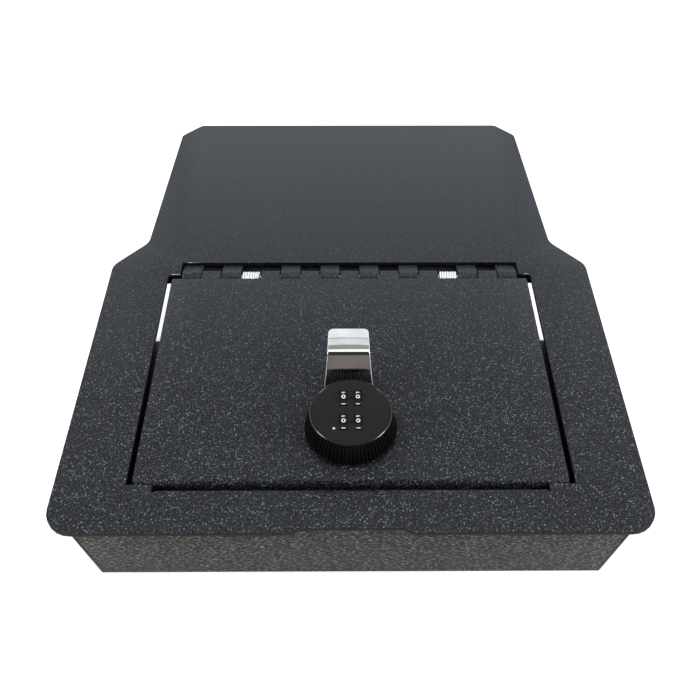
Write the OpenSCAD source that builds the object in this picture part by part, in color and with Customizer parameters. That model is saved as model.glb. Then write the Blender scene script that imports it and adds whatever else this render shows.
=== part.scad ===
// Console safe: a top plate with a drafted tray below it, a door on a continuous hinge with two
// torsion springs, a four dial combination knob and a chromed finger pull.
// Front is -Y, up is +Z, and the origin is the middle of the footprint at the tray's underside.

/* [Top plate] */
// Width of the plate across its front part
plate_w = 307.4; // [290:0.1:340]
// Length of the plate from front edge to back edge
plate_l = 355.7; // [330:0.1:400]
// Thickness of the plate and the door
plate_t = 2.7; // [2:0.1:3.4]
// Height of the plate's top face over the tray's underside
case_h = 55; // [50:0.5:90]
// Width of the rear part where the shoulders end
rear_w = 267.6; // [250:0.1:285]
// Width of the rear part at its back edge
back_w = 254.6; // [240:0.1:265]
// Distance from the front edge to the start of the shoulders
shoulder_start = 195.4; // [192:0.1:215]
// Length of each shoulder along the plate
shoulder_run = 22.4; // [15:0.1:30]
// Radius of the two front corners
front_corner_r = 14; // [6:0.5:20]
// Radius where the shoulders meet the sides
shoulder_r = 11; // [4:0.5:16]
// Size of the chamfer on the two back corners
back_chamfer = 13.5; // [8:0.5:20]
// Rounding at both ends of the back chamfers
back_r = 6; // [2:0.5:9]
// Width of the shallow relief in the front edge
relief_w = 50; // [30:1:80]
// Depth of the relief in the front edge
relief_d = 2.7; // [1:0.1:5]
// Length of the curve at each end of the relief
relief_run = 7; // [4:0.5:12]

/* [Opening] */
// Width of the door opening
opening_w = 233.4; // [210:0.1:250]
// Width of the plate in front of the opening
front_rim = 28.35; // [24:0.05:36]
// Length of the opening up to the step at the hinge
opening_l = 158; // [140:0.5:165]
// Radius of the opening's two rear corners
opening_r = 2.5; // [0.5:0.1:2.8]
// Width of the slot that the hinge barrel lies in
hinge_slot_w = 217.8; // [216.8:0.1:225]
// Depth of the hinge slot behind the step
hinge_slot_d = 11.4; // [9:0.1:14]
// Width of the flange bent down along the opening's front edge
flange_w = 203; // [150:1:208]
// Height of the flange, measured from the plate's top face
flange_h = 15.8; // [12:0.1:20]
// Distance that the flange stands ahead of the opening's front edge
flange_set = 2; // [1:0.1:3]
// Width of the relief cut at each end of the flange
cut_w = 1.3; // [0.8:0.1:2]

/* [Tray] */
// Thickness of the tray's sheet
tray_t = 2; // [1.5:0.1:3]
// Distance from the plate's sides in to the heads of the side walls
side_set = 8; // [6:0.1:12]
// Draft angle of the side walls
draft = 10; // [0:0.5:11]
// Distance from the plate's front edge back to the front wall
front_set = 7; // [4:0.5:10]
// Distance from the front wall to the floor's rear bend line
floor_l = 172.4; // [150:0.1:176]
// Width of the back wall, which leaves a cable port at each end
back_wall_w = 218; // [180:1:224]
// Width of the shelf that the hinge leaf is bolted to
shelf_w = 226; // [219:1:240]
// Height of the cable ports' top edge over the tray's underside
port_top = 41.5; // [30:0.5:44]
// Inside radius of the sheet's bends
bend_r = 1.5; // [0.8:0.1:2]
// Radius of the four fixing holes in the floor
bolt_r = 3.3; // [2.2:0.1:5]
// Spacing of the fixing holes across the tray
bolt_spacing_w = 200; // [120:1:240]
// Spacing of the fixing holes along the tray
bolt_spacing_l = 90; // [60:1:120]
// Distance from the front wall to the front pair of fixing holes
bolt_y = 40; // [20:1:50]

/* [Door] */
// Gap between the door and the opening at each side
side_gap = 3; // [1.5:0.1:4]
// Gap between the door's front edge and the opening
front_gap = 0.65; // [0.5:0.05:1.5]
// Height of the lip bent down along the door's front edge
lip_h = 12; // [8:0.5:13]
// Running gap between a seated piece and its seat
seat_gap = 0.3; // [0.2:0.05:0.4]
// Width of each door rest under the opening's front corners
rest_w = 9; // [6:0.5:11]
// Length of each door rest under the door's lip
rest_l = 8.5; // [6:0.5:14]

/* [Hinge] */
// Length of one hinge segment
segment_l = 12.7; // [12:0.05:12.75]
// Outer diameter of the hinge barrel
barrel_d = 10; // [9.4:0.1:10.6]
// Diameter of the hinge pin
pin_d = 4.76; // [3.6:0.02:5]
// Radial clearance of the pin in its knuckles
pin_fit = 0.05; // [0.02:0.01:0.09]
// Gap at each side of a knuckle
knuckle_gap = 0.25; // [0.15:0.05:0.4]
// Distance from the step in the opening back to the hinge axis
axis_set = 1.7; // [1.5:0.1:3.5]
// Thickness of the hinge leaf under the plate
leaf_t = 2.3; // [1.5:0.1:2.4]
// Length of the leaf under the plate, behind its notches
leaf_l = 22; // [18:0.5:40]
// Radius of the studs that hold the leaf
stud_r = 2; // [1.5:0.1:2.5]
// Spacing of the studs
stud_pitch = 40; // [30:1:45]

/* [Springs] */
// Wire diameter of the torsion springs
wire_d = 1.1; // [0.9:0.05:1.15]
// Mean radius of the torsion springs
coil_r = 3.7; // [3.5:0.05:3.9]
// Distance from one turn to the next
coil_pitch = 1.6; // [1.58:0.01:1.62]
// Length of the leg that lies under the door
leg_l = 8.5; // [8:0.1:14]

/* [Knob] */
// Distance from the plate's front edge to the knob's axis
knob_set = 63.4; // [58:0.1:75]
// Height of the knob's face over the door
knob_h = 16; // [15.5:0.1:18]
// Radius of the knob at its foot
knob_foot_r = 25.3; // [24.6:0.1:27]
// Width of the smooth rim round the knob's face plate
rim_w = 1.4; // [1.2:0.1:2]
// Radius of the knob's face plate
face_r = 20.8; // [20.4:0.1:21]
// Thickness of the knob's face plate
face_t = 2; // [1.5:0.1:2.2]
// Number of ribs round the knob
rib_count = 72; // [40:2:110]
// Depth of the grooves between the ribs
rib_d = 0.7; // [0.4:0.1:0.9]
// Radius of the number dials
dial_r = 6.7; // [6.5:0.05:6.8]
// Width of each number dial
dial_w = 3.5; // [3:0.1:3.7]
// Distance between the two dials of a row
dial_dx = 7.7; // [7.5:0.1:8]
// Distance between the two rows of dials
dial_dy = 16; // [15.5:0.1:16.2]
// Distance from the knob's axis to the middle between the rows
dial_shift = 0.7; // [0:0.1:1.5]
// Height that the dials stand proud of the face
dial_proud = 1.6; // [1.2:0.1:1.8]
// Radius of the dial shafts
shaft_r = 1.5; // [1.2:0.05:1.8]
// Length of each dial window
window_l = 10.4; // [10.2:0.1:11]
// Clearance of a window at each side of its dial
window_gap = 0.3; // [0.2:0.05:0.4]
// Radius of the code pin
code_pin_r = 0.7; // [0.5:0.05:0.9]
// Travel of the code pin
code_pin_travel = 1.2; // [0.8:0.1:1.5]

/* [Lock] */
// Radius of the lock body's threaded barrel
lock_r = 9.4; // [8.5:0.1:10]
// Distance from the axis to the flats on the barrel
lock_flat = 8.4; // [7.5:0.1:8.4]
// Clearance of the barrel in the door and the pull
lock_fit = 0.15; // [0.1:0.05:0.3]
// Radius of the lock body's head
head_r = 13; // [12:0.1:14]
// Radius of the spindle
spindle_r = 4; // [3.5:0.1:4.5]
// Side of the spindle's square end
square_w = 5; // [4.5:0.1:5.5]
// Thickness of the cam
cam_t = 2.5; // [2:0.1:3]
// Length of the cam from the knob's axis
cam_l = 42; // [41.5:0.5:46]
// Width of the cam at its hub
cam_w = 18; // [14:0.5:22]
// Width of the cam at its tip
cam_tip_w = 11; // [8:0.5:14]
// Distance across the flats of the lock nut
nut_w = 25.4; // [23:0.1:27]
// Thickness of the lock nut
nut_t = 5; // [4:0.5:6]

/* [Finger pull] */
// Thickness of the pull's strip
pull_t = 1.5; // [1.2:0.1:1.6]
// Width of the pull at its foot
pull_w = 27.8; // [25:0.1:30]
// Width of the pull at its upper bend
pull_bend_w = 23.5; // [22:0.1:25]
// Width of the pull at its tip
pull_tip_w = 22.6; // [20:0.1:24]
// Distance from the knob's foot back to the pull's lower bend
pull_gap = 1.8; // [1.7:0.1:6]
// Height of the upper bend over the door
pull_h = 21.5; // [18:0.5:28]
// Height over the door at which the pull leans further back
pull_waist = 12; // [8:0.5:14]
// Lean of the pull's lower part from the door
pull_lean = 75; // [65:1:80]
// Inside radius of the long bend between the pull's two slopes
pull_waist_r = 50; // [10:1:52]
// Lean of the pull's upper part from the door
pull_upper_lean = 56; // [50:1:65]
// Distance that the strip stands to the left of the knob's axis
pull_shift = 1; // [0:0.1:1.2]
// Length of the pull's lip behind the upper bend
pull_lip = 16; // [12:0.5:22]
// Rise of the lip towards its tip
pull_tilt = 3; // [0:0.5:10]
// Radius of the two corners at the tip
pull_corner_r = 3; // [1:0.5:5]

/* [Hidden] */
$fn = 48;
front = -plate_l / 2;
back = plate_l / 2;
under = case_h - plate_t;
arc_steps = 6;
open_front = front + front_rim;
open_step = open_front + opening_l;
slot_back = open_step + hinge_slot_d;
axis_y = open_step + axis_set;
axis_z = case_h - barrel_d / 2;
barrel_r = barrel_d / 2;
flange_y = open_front - flange_set;
flange_bend = 10;
wall_front = front + front_set;
tray_w = plate_w - 2 * side_set - 2 * under * tan(draft);
floor_back = wall_front + floor_l;
wall_gap = 1.6;
weld_edge = 0.4;
wall_top = axis_y + barrel_r + wall_gap + tray_t;
leaf_under = under - leaf_t;
tray_shelf = leaf_under - tray_t;
wall_lean = atan2(wall_top - floor_back, tray_shelf);
port_front = floor_back - (bend_r + tray_t) * tan((90 - wall_lean) / 2);
leaf_notch = slot_back + 2;
leaf_back = leaf_notch + leaf_l;
tab_foot = [slot_back - axis_y, under - axis_z];
tab_turn = atan2(tab_foot.y, tab_foot.x) + acos(barrel_r / norm(tab_foot));
side_skin = tray_t / cos(draft);
stud_y = leaf_notch + leaf_l / 2;
stud_spots = [-2, -1, 0, 1, 2];
thin_nut_t = 3.2;
thin_nut_w = 7;
fit = 0.05;

door_w = opening_w - 2 * side_gap;
door_front = open_front + front_gap;
door_back = axis_y - barrel_r - seat_gap;
lip_foot = case_h - lip_h;
segment_count = 17;
frame_knuckles = [0, 2, 5, 7, 9, 11, 14, 16];
door_knuckles = [1, 4, 6, 8, 10, 12, 15];
spring_places = [3, 13];
hinge_w = segment_count * segment_l;
bore_r = pin_d / 2 + pin_fit;

knob_y = front + knob_set;
head_t = 1;
lock_top = case_h + pull_t + head_t;
skirt_foot = case_h + pull_t + 2 * seat_gap;
face_top = case_h + knob_h;
face_under = face_top - face_t;
bevel_h = 0.9;
skin_t = 2.2;
carrier_foot = lock_top + seat_gap;
carrier_t = 1.1;
carrier_top = carrier_foot + carrier_t;
cheek_top = face_under - 1.7;
shaft_z = face_top + dial_proud - dial_r;
window_w = dial_w + 2 * window_gap;
cheek_in = dial_dx / 2 + dial_w / 2 + seat_gap;
cheek_t = 2;
web_t = dial_dx - dial_w - 2 * seat_gap;
rows = [dial_shift - dial_dy / 2, dial_shift + dial_dy / 2];
running = 0.07;
pin_at = [-8.9, -11.4];
collar_r = 1.5;
collar_t = 1.1;
collar_foot = face_under - seat_gap - collar_t;
boss_r = 2.6;
boss_h = 5.2;
boss_top = carrier_top + boss_h;
pocket_r = 1.9;
pocket_foot = carrier_top + 2.7;
pin_coil_r = 1.2;
pin_wire_d = 0.4;
pin_coils = 4;

cam_top = case_h - flange_h - 0.5;
cam_under = cam_top - cam_t;
lock_foot = cam_top + 0.2;
washer_t = 1;
washer_r = 13.5;
screw_r = 1.6;
screw_head_r = 3.6;
screw_head_h = 2.1;
screw_depth = 6;

coil_sides = 6;
coil_rings = 8;
pull_bend_r = 1.5;
crown_r = 3;

function unit(v) = v / norm(v);
function spin(p, a) = [p.x * cos(a) - p.y * sin(a), p.x * sin(a) + p.y * cos(a)];
function flat(p) = [p.x, p.y];
function reversed(p) = [for (i = [len(p) - 1 : -1 : 0]) p[i]];

// Arc of radius r that replaces the corner b between a and c
function corner_arc(a, b, c, r) =
    let (u = unit(a - b), v = unit(c - b), half = acos(u * v) / 2)
    let (middle = b + unit(u + v) * r / sin(half), start = b + u * r / tan(half) - middle)
    let (turn = sign(cross(b - a, c - b)) * (180 - 2 * half))
    [for (k = [0 : arc_steps]) middle + spin(start, turn * k / arc_steps)];

// Outline whose points are [x, y, corner radius]; the ends of an open one stay sharp
function rounded(p, open = false) =
    let (n = len(p))
    [for (i = [0 : n - 1])
        let (sharp = p[i][2] == 0 || (open && (i == 0 || i == n - 1)))
        each sharp ? [flat(p[i])]
            : corner_arc(flat(p[(i + n - 1) % n]), flat(p[i]), flat(p[(i + 1) % n]), p[i][2])];

// Section of a bent sheet that lies to the left of a path of corners, with inside bend radius r
// or, at a corner given as [x, y, radius], the corner's own
function bent_sheet(path, t, r) =
    let (last = len(path) - 1, at = [for (p = path) flat(p)])
    let (own = [for (p = path) len(p) > 2 ? p[2] : r])
    let (way = [for (i = [0 : last - 1]) unit(at[i + 1] - at[i])])
    let (side = [for (d = way) [-d.y, d.x]])
    let (inner = [for (i = [0 : last])
        i == 0 ? at[0] + side[0] * t :
        i == last ? at[last] + side[last - 1] * t :
        at[i] + (side[i - 1] + side[i]) / (1 + side[i - 1] * side[i]) * t])
    let (left = [for (i = [0 : last]) i > 0 && i < last && cross(way[i - 1], way[i]) > 0])
    concat(
        rounded([for (i = [0 : last]) [at[i].x, at[i].y, left[i] ? own[i] + t : own[i]]], true),
        reversed(rounded([for (i = [0 : last])
            [inner[i].x, inner[i].y, left[i] ? own[i] : own[i] + t]], true)));

// Rings of a round wire swept along a route in space, all square to the route
function wire_rings(route, r, about) =
    let (last = len(route) - 1)
    [for (i = [0 : last])
        let (way = unit(route[min(i + 1, last)] - route[max(i - 1, 0)]))
        let (n = unit(cross(way, about)), m = cross(way, n))
        for (k = [0 : coil_sides - 1])
            route[i] + r * (n * cos(360 * k / coil_sides) + m * sin(360 * k / coil_sides))];

function wire_faces(count) =
    let (s = coil_sides)
    concat(
        [for (k = [1 : s - 2]) [0, k, k + 1]],
        [for (i = [0 : count - 2], k = [0 : s - 1])
            [i * s + k, (i + 1) * s + k, (i + 1) * s + (k + 1) % s]],
        [for (i = [0 : count - 2], k = [0 : s - 1])
            [i * s + k, (i + 1) * s + (k + 1) % s, i * s + (k + 1) % s]],
        [for (k = [1 : s - 2]) [(count - 1) * s, (count - 1) * s + k + 1, (count - 1) * s + k]]);

// Least gap between turns of a wire, from every pair of points more than half a turn apart
function least_gap(route, d) =
    min([for (i = [0 : len(route) - 1], j = [i + 5 : len(route) - 1])
        if (j < len(route)) norm(route[i] - route[j])]) - d;

module wire(route, d, about) {
    polyhedron(points = wire_rings(route, d / 2, about), faces = wire_faces(len(route)));
}

// A section drawn in Y and Z, swept across X about the middle
module across(w) {
    rotate([90, 0, 90]) linear_extrude(w, center = true) children();
}

module hinge_tube(r, w) {
    rotate([0, 90, 0]) cylinder(r = r, h = w, center = true);
}

function segment_x(i) = (i + 0.5) * segment_l - hinge_w / 2;

module hex_nut(w, t, r) {
    difference() {
        cylinder(d = w / cos(30), h = t, $fn = 6);
        translate([0, 0, -1]) cylinder(r = r, h = t + 2);
    }
}

module double_d(r, flat_x) {
    intersection() {
        circle(r = r);
        square([2 * flat_x, 3 * r], center = true);
    }
}

function plate_outline() =
    let (side = plate_w / 2, waist = rear_w / 2, tail = back_w / 2)
    let (near = front + shoulder_start, far = near + shoulder_run)
    let (in = relief_w / 2, out = in + relief_run)
    let (half = [
        [in, front + relief_d, relief_run * 0.9],
        [out, front, relief_run * 0.9],
        [side, front, front_corner_r],
        [side, near, shoulder_r],
        [waist, far, shoulder_r],
        [tail, back - back_chamfer, back_r],
        [tail - back_chamfer, back, back_r]])
    rounded(concat(half, [for (p = reversed(half)) [-p.x, p.y, p[2]]]));

function opening_outline() =
    let (w = opening_w / 2, s = hinge_slot_w / 2)
    rounded([[-w, open_front, 0], [w, open_front, 0], [w, open_step, opening_r], [s, open_step, 0],
        [s, slot_back, 0], [-s, slot_back, 0], [-s, open_step, 0], [-w, open_step, opening_r]]);

module top_plate() {
    color("#2b2c2f") {
        translate([0, 0, under]) linear_extrude(plate_t) difference() {
            polygon(plate_outline());
            polygon(opening_outline());
            translate([-flange_w / 2, flange_y - flange_bend])
                square([flange_w, flange_bend + flange_set + 1]);
            for (s = [-1, 1]) translate([s * (flange_w + cut_w) / 2, flange_y])
                square([cut_w, 2 * flange_set + 1], center = true);
        }
        across(flange_w) polygon(bent_sheet(
            [[flange_y, case_h - flange_h], [flange_y, case_h], [flange_y - flange_bend, case_h]], plate_t, 1));
    }
}

// Width between the side walls' inner faces at height z
function inner_w(z) = tray_w - 2 * side_skin + 2 * z * tan(draft);

module tray_sheet() {
    color("#34342f") difference() {
        intersection() {
            across(plate_w) union() {
                polygon(bent_sheet([[wall_front, under], [wall_front, 0], [floor_back, 0],
                    [wall_top, tray_shelf], [leaf_back, tray_shelf]], tray_t, bend_r));
                polygon([[wall_front, bend_r + tray_t], [wall_front, weld_edge], [wall_front + weld_edge, 0],
                    [wall_front + bend_r + tray_t, 0]]);
            }
            translate([0, plate_l / 2, 0]) rotate([90, 0, 0]) linear_extrude(plate_l) polygon([
                [-inner_w(0) / 2, 0], [inner_w(0) / 2, 0], [inner_w(under) / 2, under],
                [-inner_w(under) / 2, under]]);
        }
        for (s = [-1, 1], cut = [[back_wall_w, port_front, port_top], [shelf_w, wall_top, 2 * case_h]])
            translate([s * (cut[0] + plate_w) / 2, cut[1] + plate_l / 2, cut[2] - case_h])
                cube([plate_w, plate_l, 2 * case_h], center = true);
        for (x = [-bolt_spacing_w / 2, bolt_spacing_w / 2], y = [bolt_y, bolt_y + bolt_spacing_l])
            translate([x, wall_front + y, -1]) cylinder(r = bolt_r, h = tray_t + 2);
        for (i = stud_spots) translate([i * stud_pitch, stud_y, tray_shelf - 1])
            cylinder(r = stud_r + fit, h = tray_t + 2);
    }
}

module side_plate(s) {
    foot = tray_w / 2;
    head = foot + under * tan(draft);
    color("#34342f") intersection() {
        translate([0, plate_l / 2, 0]) rotate([90, 0, 0]) linear_extrude(plate_l) polygon([
            [s * (foot - side_skin), 0], [s * foot, 0], [s * head, under], [s * (head - side_skin), under]]);
        across(2 * plate_w) polygon([
            [wall_front, 0], [port_front, 0], [floor_back, tray_t], [wall_top, tray_shelf],
            [wall_top, under], [wall_front, under]]);
    }
}

module left_side_plate() { side_plate(-1); }
module right_side_plate() { side_plate(1); }

module door_rests() {
    rest_t = 2;
    foot = lip_foot - seat_gap - rest_t;
    leg = open_front - 2;
    color("#2b2c2f") for (s = [-1, 1])
        translate([s * (flange_w / 2 + cut_w + 1 + rest_w / 2), 0, 0]) across(rest_w) polygon(bent_sheet(
            [[leg - rest_t, under], [leg - rest_t, foot], [leg + rest_l, foot]], rest_t, 1));
}

module hinge_leaf() {
    color("#2b2c2f") difference() {
        union() {
            translate([-hinge_w / 2 + knuckle_gap, leaf_notch, leaf_under])
                cube([hinge_w - 2 * knuckle_gap, leaf_l, leaf_t]);
            for (i = frame_knuckles) translate([segment_x(i), axis_y, 0]) {
                w = segment_l - 2 * knuckle_gap;
                translate([0, 0, axis_z]) hinge_tube(barrel_r, w);
                across(w) polygon([[0, leaf_under], [leaf_notch - axis_y + 1, leaf_under],
                    [leaf_notch - axis_y + 1, under], [slot_back - axis_y, under],
                    [0, axis_z] + barrel_r * [cos(tab_turn), sin(tab_turn)]]);
            }
        }
        translate([0, axis_y, axis_z]) hinge_tube(bore_r, hinge_w + 2);
        for (i = stud_spots) translate([i * stud_pitch, stud_y, leaf_under - 1])
            cylinder(r = stud_r + fit, h = leaf_t + 2);
    }
}

module hinge_pin() {
    color("#8d9095") translate([0, axis_y, axis_z]) hinge_tube(pin_d / 2, hinge_w - 2 * knuckle_gap);
}

module leaf_studs() {
    color("#9a9da1") for (i = stud_spots)
        translate([i * stud_pitch, stud_y, tray_shelf - thin_nut_t - 1])
            cylinder(r = stud_r, h = under - tray_shelf + thin_nut_t + 1);
}

module leaf_nuts() {
    color("#9a9da1") for (i = stud_spots) translate([i * stud_pitch, stud_y, tray_shelf - thin_nut_t])
        hex_nut(thin_nut_w, thin_nut_t, stud_r + fit);
}

// Route of a torsion spring round the hinge axis. One leg stands on the tray's back wall and the
// other rises to the door's underside; the turns run from the first leg over the top to the front.
wall_way = [cos(wall_lean), -sin(wall_lean)];
wall_face = [floor_back, 0] - tray_t * wall_way;
wall_reach = -([axis_y, axis_z] - wall_face) * wall_way;
spring_start = -90 - wall_lean;
spring_sweep = 360 * 7 - wall_lean;
spring_len = coil_pitch * spring_sweep / 360;
function around(a) = coil_r * [cos(a), sin(a)];
function spring_route() =
    let (start = around(spring_start), steps = ceil(spring_sweep / 360 * coil_rings), x0 = -spring_len / 2)
    let (leg_x = spring_len / 2, bend = wire_d, door_z = barrel_r - plate_t - seat_gap)
    concat(
        [for (r = [abs(wall_reach) - seat_gap, abs(wall_reach) / 2 - seat_gap])
            [x0, start.x + r * wall_way.x, start.y + r * wall_way.y]],
        [for (k = [0 : steps]) let (p = around(spring_start - spring_sweep * k / steps))
            [x0 + spring_len * k / steps, p.x, p.y]],
        [for (a = [0 : 30 : 90])
            [leg_x, bend - leg_l - bend * sin(a), bend - coil_r - bend * cos(a)]],
        [for (z = [door_z - wire_d, door_z]) [leg_x, -leg_l, z]]);

module torsion_spring(i) {
    color("#d4d7da") translate([segment_x(i), axis_y, axis_z]) wire(spring_route(), wire_d, [1, 0, 0]);
}

module left_spring() { torsion_spring(spring_places[0]); }
module right_spring() { torsion_spring(spring_places[1]); }

module door_panel() {
    w = segment_l - 2 * knuckle_gap;
    color("#2b2c2f") difference() {
        union() {
            across(door_w) polygon(bent_sheet(
                [[door_back, case_h], [door_front, case_h], [door_front, lip_foot]], plate_t, 1));
            for (i = door_knuckles) translate([segment_x(i), axis_y, 0]) {
                translate([0, 0, axis_z]) hinge_tube(barrel_r, w);
                translate([-w / 2, door_back - axis_y - 1, under])
                    cube([w, axis_y - door_back + 1, plate_t]);
            }
        }
        translate([0, axis_y, axis_z]) hinge_tube(bore_r, hinge_w + 2);
        translate([0, knob_y, under - 1]) linear_extrude(plate_t + 2)
            double_d(lock_r + lock_fit, lock_flat + lock_fit);
    }
}

module finger_pull() {
    heel = knob_y + knob_foot_r + pull_gap;
    waist = heel + pull_waist / tan(pull_lean);
    crown = waist + (pull_h - pull_waist) / tan(pull_upper_lean);
    tip = crown + pull_lip * cos(pull_tilt);
    foot_r = head_r + 1.5;
    color("#e3e5e8") difference() {
        union() {
            intersection() {
                across(2 * pull_w) polygon(bent_sheet(
                    [[knob_y, case_h], [heel, case_h], [waist, case_h + pull_waist, pull_waist_r],
                     [crown, case_h + pull_h],
                     [tip, case_h + pull_h + pull_lip * sin(pull_tilt)]], pull_t, pull_bend_r));
                translate([-pull_shift, 0, case_h - 1]) linear_extrude(pull_h * 2) polygon(rounded([
                    [-pull_w / 2, knob_y, 0], [pull_w / 2, knob_y, 0], [pull_w / 2, heel, crown_r],
                    [pull_bend_w / 2, crown, crown_r], [pull_tip_w / 2, tip, pull_corner_r],
                    [-pull_tip_w / 2, tip, pull_corner_r], [-pull_bend_w / 2, crown, crown_r],
                    [-pull_w / 2, heel, crown_r]]));
            }
            translate([0, knob_y, case_h]) cylinder(r = foot_r, h = pull_t);
        }
        translate([0, knob_y, case_h - 1]) linear_extrude(pull_t + 2)
            double_d(lock_r + lock_fit, lock_flat + lock_fit);
    }
}

module lock_body() {
    color("#b7babd") translate([0, knob_y, 0]) difference() {
        union() {
            translate([0, 0, lock_foot]) linear_extrude(lock_top - lock_foot) double_d(lock_r, lock_flat);
            translate([0, 0, lock_top - head_t]) cylinder(r = head_r, h = head_t);
        }
        translate([0, 0, lock_foot - 1]) cylinder(r = spindle_r + running, h = lock_top - lock_foot + 2);
    }
}

module lock_washer() {
    color("#9a9da1") translate([0, knob_y, under - washer_t]) difference() {
        cylinder(r = washer_r, h = washer_t);
        translate([0, 0, -1]) cylinder(r = lock_r + fit, h = washer_t + 2);
    }
}

module lock_nut() {
    color("#a8894f") translate([0, knob_y, under - washer_t - nut_t]) hex_nut(nut_w, nut_t, lock_r + fit);
}

// Round outline with shallow grooves, as a star of short straight flanks
function ribbed_outline(r, n, d) =
    [for (i = [0 : n - 1], p = [[-0.3, r - d], [-0.14, r], [0.14, r], [0.3, r - d]])
        p.y * [cos(360 * (i + p.x) / n), sin(360 * (i + p.x) / n)]];

module knob_shell() {
    bevel_z = face_top - bevel_h;
    band_h = 1.2;
    band_r = face_r + rim_w;
    rib_top_r = band_r - 0.3;
    skirt_h = bevel_z - band_h / 2 - skirt_foot;
    ledge_r = face_r - 2;
    ledge_t = 1.4;
    color("#1b1b1c") translate([0, knob_y, 0]) difference() {
        union() {
            translate([0, 0, skirt_foot]) linear_extrude(skirt_h, scale = rib_top_r / knob_foot_r)
                polygon(ribbed_outline(knob_foot_r, rib_count, rib_d));
            translate([0, 0, bevel_z - band_h]) cylinder(r = band_r, h = band_h, $fn = 96);
            translate([0, 0, bevel_z]) cylinder(r1 = band_r, r2 = band_r - bevel_h, h = bevel_h, $fn = 96);
        }
        translate([0, 0, face_under]) cylinder(r = face_r + fit, h = face_t + 1, $fn = 96);
        translate([0, 0, face_under - ledge_t - 1]) cylinder(r = ledge_r, h = ledge_t + 2, $fn = 96);
        translate([0, 0, skirt_foot - 1])
            cylinder(r1 = knob_foot_r - skin_t, r2 = ledge_r + 1,
                h = face_under - ledge_t - skirt_foot + 1, $fn = 96);
    }
}

module knob_face() {
    groove_d = 0.3;
    color("#232324") translate([0, knob_y, 0]) difference() {
        translate([0, 0, face_under]) cylinder(r = face_r, h = face_t, $fn = 96);
        for (x = [-dial_dx / 2, dial_dx / 2], y = rows) {
            translate([x, y, face_top]) cube([window_w, window_l, 3 * face_t], center = true);
            translate([x, y, shaft_z]) hinge_tube(dial_r + seat_gap, window_w);
        }
        for (y = rows) translate([0, y, face_top]) cube([2.2, 0.5, 2 * groove_d], center = true);
        translate([pin_at.x, pin_at.y, face_under - 1]) cylinder(r = code_pin_r + running, h = face_t + 2);
    }
}

module dial_carrier() {
    cheek_y = rows[0] - dial_r - 0.5;
    cheek_l = dial_dy + 2 * dial_r + 1;
    cheek_h = cheek_top - carrier_foot;
    color("#6b6e72") translate([0, knob_y, 0]) difference() {
        union() {
            translate([0, 0, carrier_foot])
                cylinder(r = knob_foot_r - skin_t - 4 * seat_gap, h = carrier_t);
            for (x = [-cheek_in - cheek_t, cheek_in]) translate([x, cheek_y, carrier_foot])
                cube([cheek_t, cheek_l, cheek_h]);
            translate([-web_t / 2, cheek_y, carrier_foot]) cube([web_t, cheek_l, cheek_h]);
            translate([pin_at.x, pin_at.y, carrier_foot]) cylinder(r = boss_r, h = boss_top - carrier_foot);
        }
        for (y = rows) translate([0, y, shaft_z]) hinge_tube(shaft_r + fit, 4 * cheek_in);
        for (x = [-dial_dx / 2, dial_dx / 2], y = rows) translate([x, y, shaft_z])
            hinge_tube(dial_r + seat_gap, dial_w + 2 * seat_gap);
        translate([pin_at.x, pin_at.y, carrier_foot - 1]) cylinder(r = code_pin_r + running, h = boss_top);
        translate([pin_at.x, pin_at.y, pocket_foot]) cylinder(r = pocket_r, h = boss_top);
        translate([0, 0, carrier_foot - 1]) cylinder(r = spindle_r / 2 + fit, h = carrier_t + 2);
    }
}

module dial_shaft(row) {
    color("#b7babd") translate([0, knob_y + rows[row], shaft_z])
        hinge_tube(shaft_r, 2 * (cheek_in + cheek_t));
}

module front_dial_shaft() { dial_shaft(0); }
module rear_dial_shaft() { dial_shaft(1); }

module number_dial(side, row) {
    notch_r = 0.9;
    color("#202021") translate([side * dial_dx / 2, knob_y + rows[row], shaft_z]) difference() {
        hinge_tube(dial_r, dial_w);
        hinge_tube(shaft_r + running, dial_w + 2);
        for (i = [0 : 9]) rotate([36 * i + 18, 0, 0]) translate([0, 0, dial_r + notch_r - 0.35])
            hinge_tube(notch_r, dial_w + 2);
    }
}

module front_left_dial() { number_dial(-1, 0); }
module front_right_dial() { number_dial(1, 0); }
module rear_left_dial() { number_dial(-1, 1); }
module rear_right_dial() { number_dial(1, 1); }

module code_pin() {
    stem_foot = pocket_foot - code_pin_travel;
    color("#c9a35a") translate([pin_at.x, knob_y + pin_at.y, 0]) {
        translate([0, 0, stem_foot]) cylinder(r = code_pin_r, h = face_top + 0.3 - stem_foot);
        translate([0, 0, collar_foot]) cylinder(r = collar_r, h = collar_t);
    }
}

// Route of the code pin's spring between the pocket's floor and the pin's collar
function pin_spring_route() =
    let (low = pocket_foot + seat_gap + pin_wire_d, high = collar_foot - seat_gap - pin_wire_d)
    let (steps = pin_coils * coil_rings)
    concat(
        [[pin_coil_r, 0, low - pin_wire_d]],
        [for (k = [0 : steps]) let (a = 360 * k / coil_rings)
            [pin_coil_r * cos(a), pin_coil_r * sin(a), low + (high - low) * k / steps]],
        [[pin_coil_r, 0, high + pin_wire_d]]);

module code_pin_spring() {
    color("#d4d7da") translate([pin_at.x, knob_y + pin_at.y, 0])
        wire(pin_spring_route(), pin_wire_d, [0.3, 0.2, 1]);
}

module lock_spindle() {
    color("#b7babd") translate([0, knob_y, 0]) difference() {
        union() {
            translate([0, 0, cam_top]) cylinder(r = spindle_r, h = carrier_foot - cam_top);
            translate([0, 0, carrier_foot - 1]) cylinder(r = spindle_r / 2, h = carrier_t + 1);
            translate([0, 0, cam_top - cam_t / 2 + 0.5])
                cube([square_w, square_w, cam_t + 1], center = true);
        }
        translate([0, 0, cam_under - 1]) cylinder(r = screw_r + fit, h = screw_depth + 1);
    }
}

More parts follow.
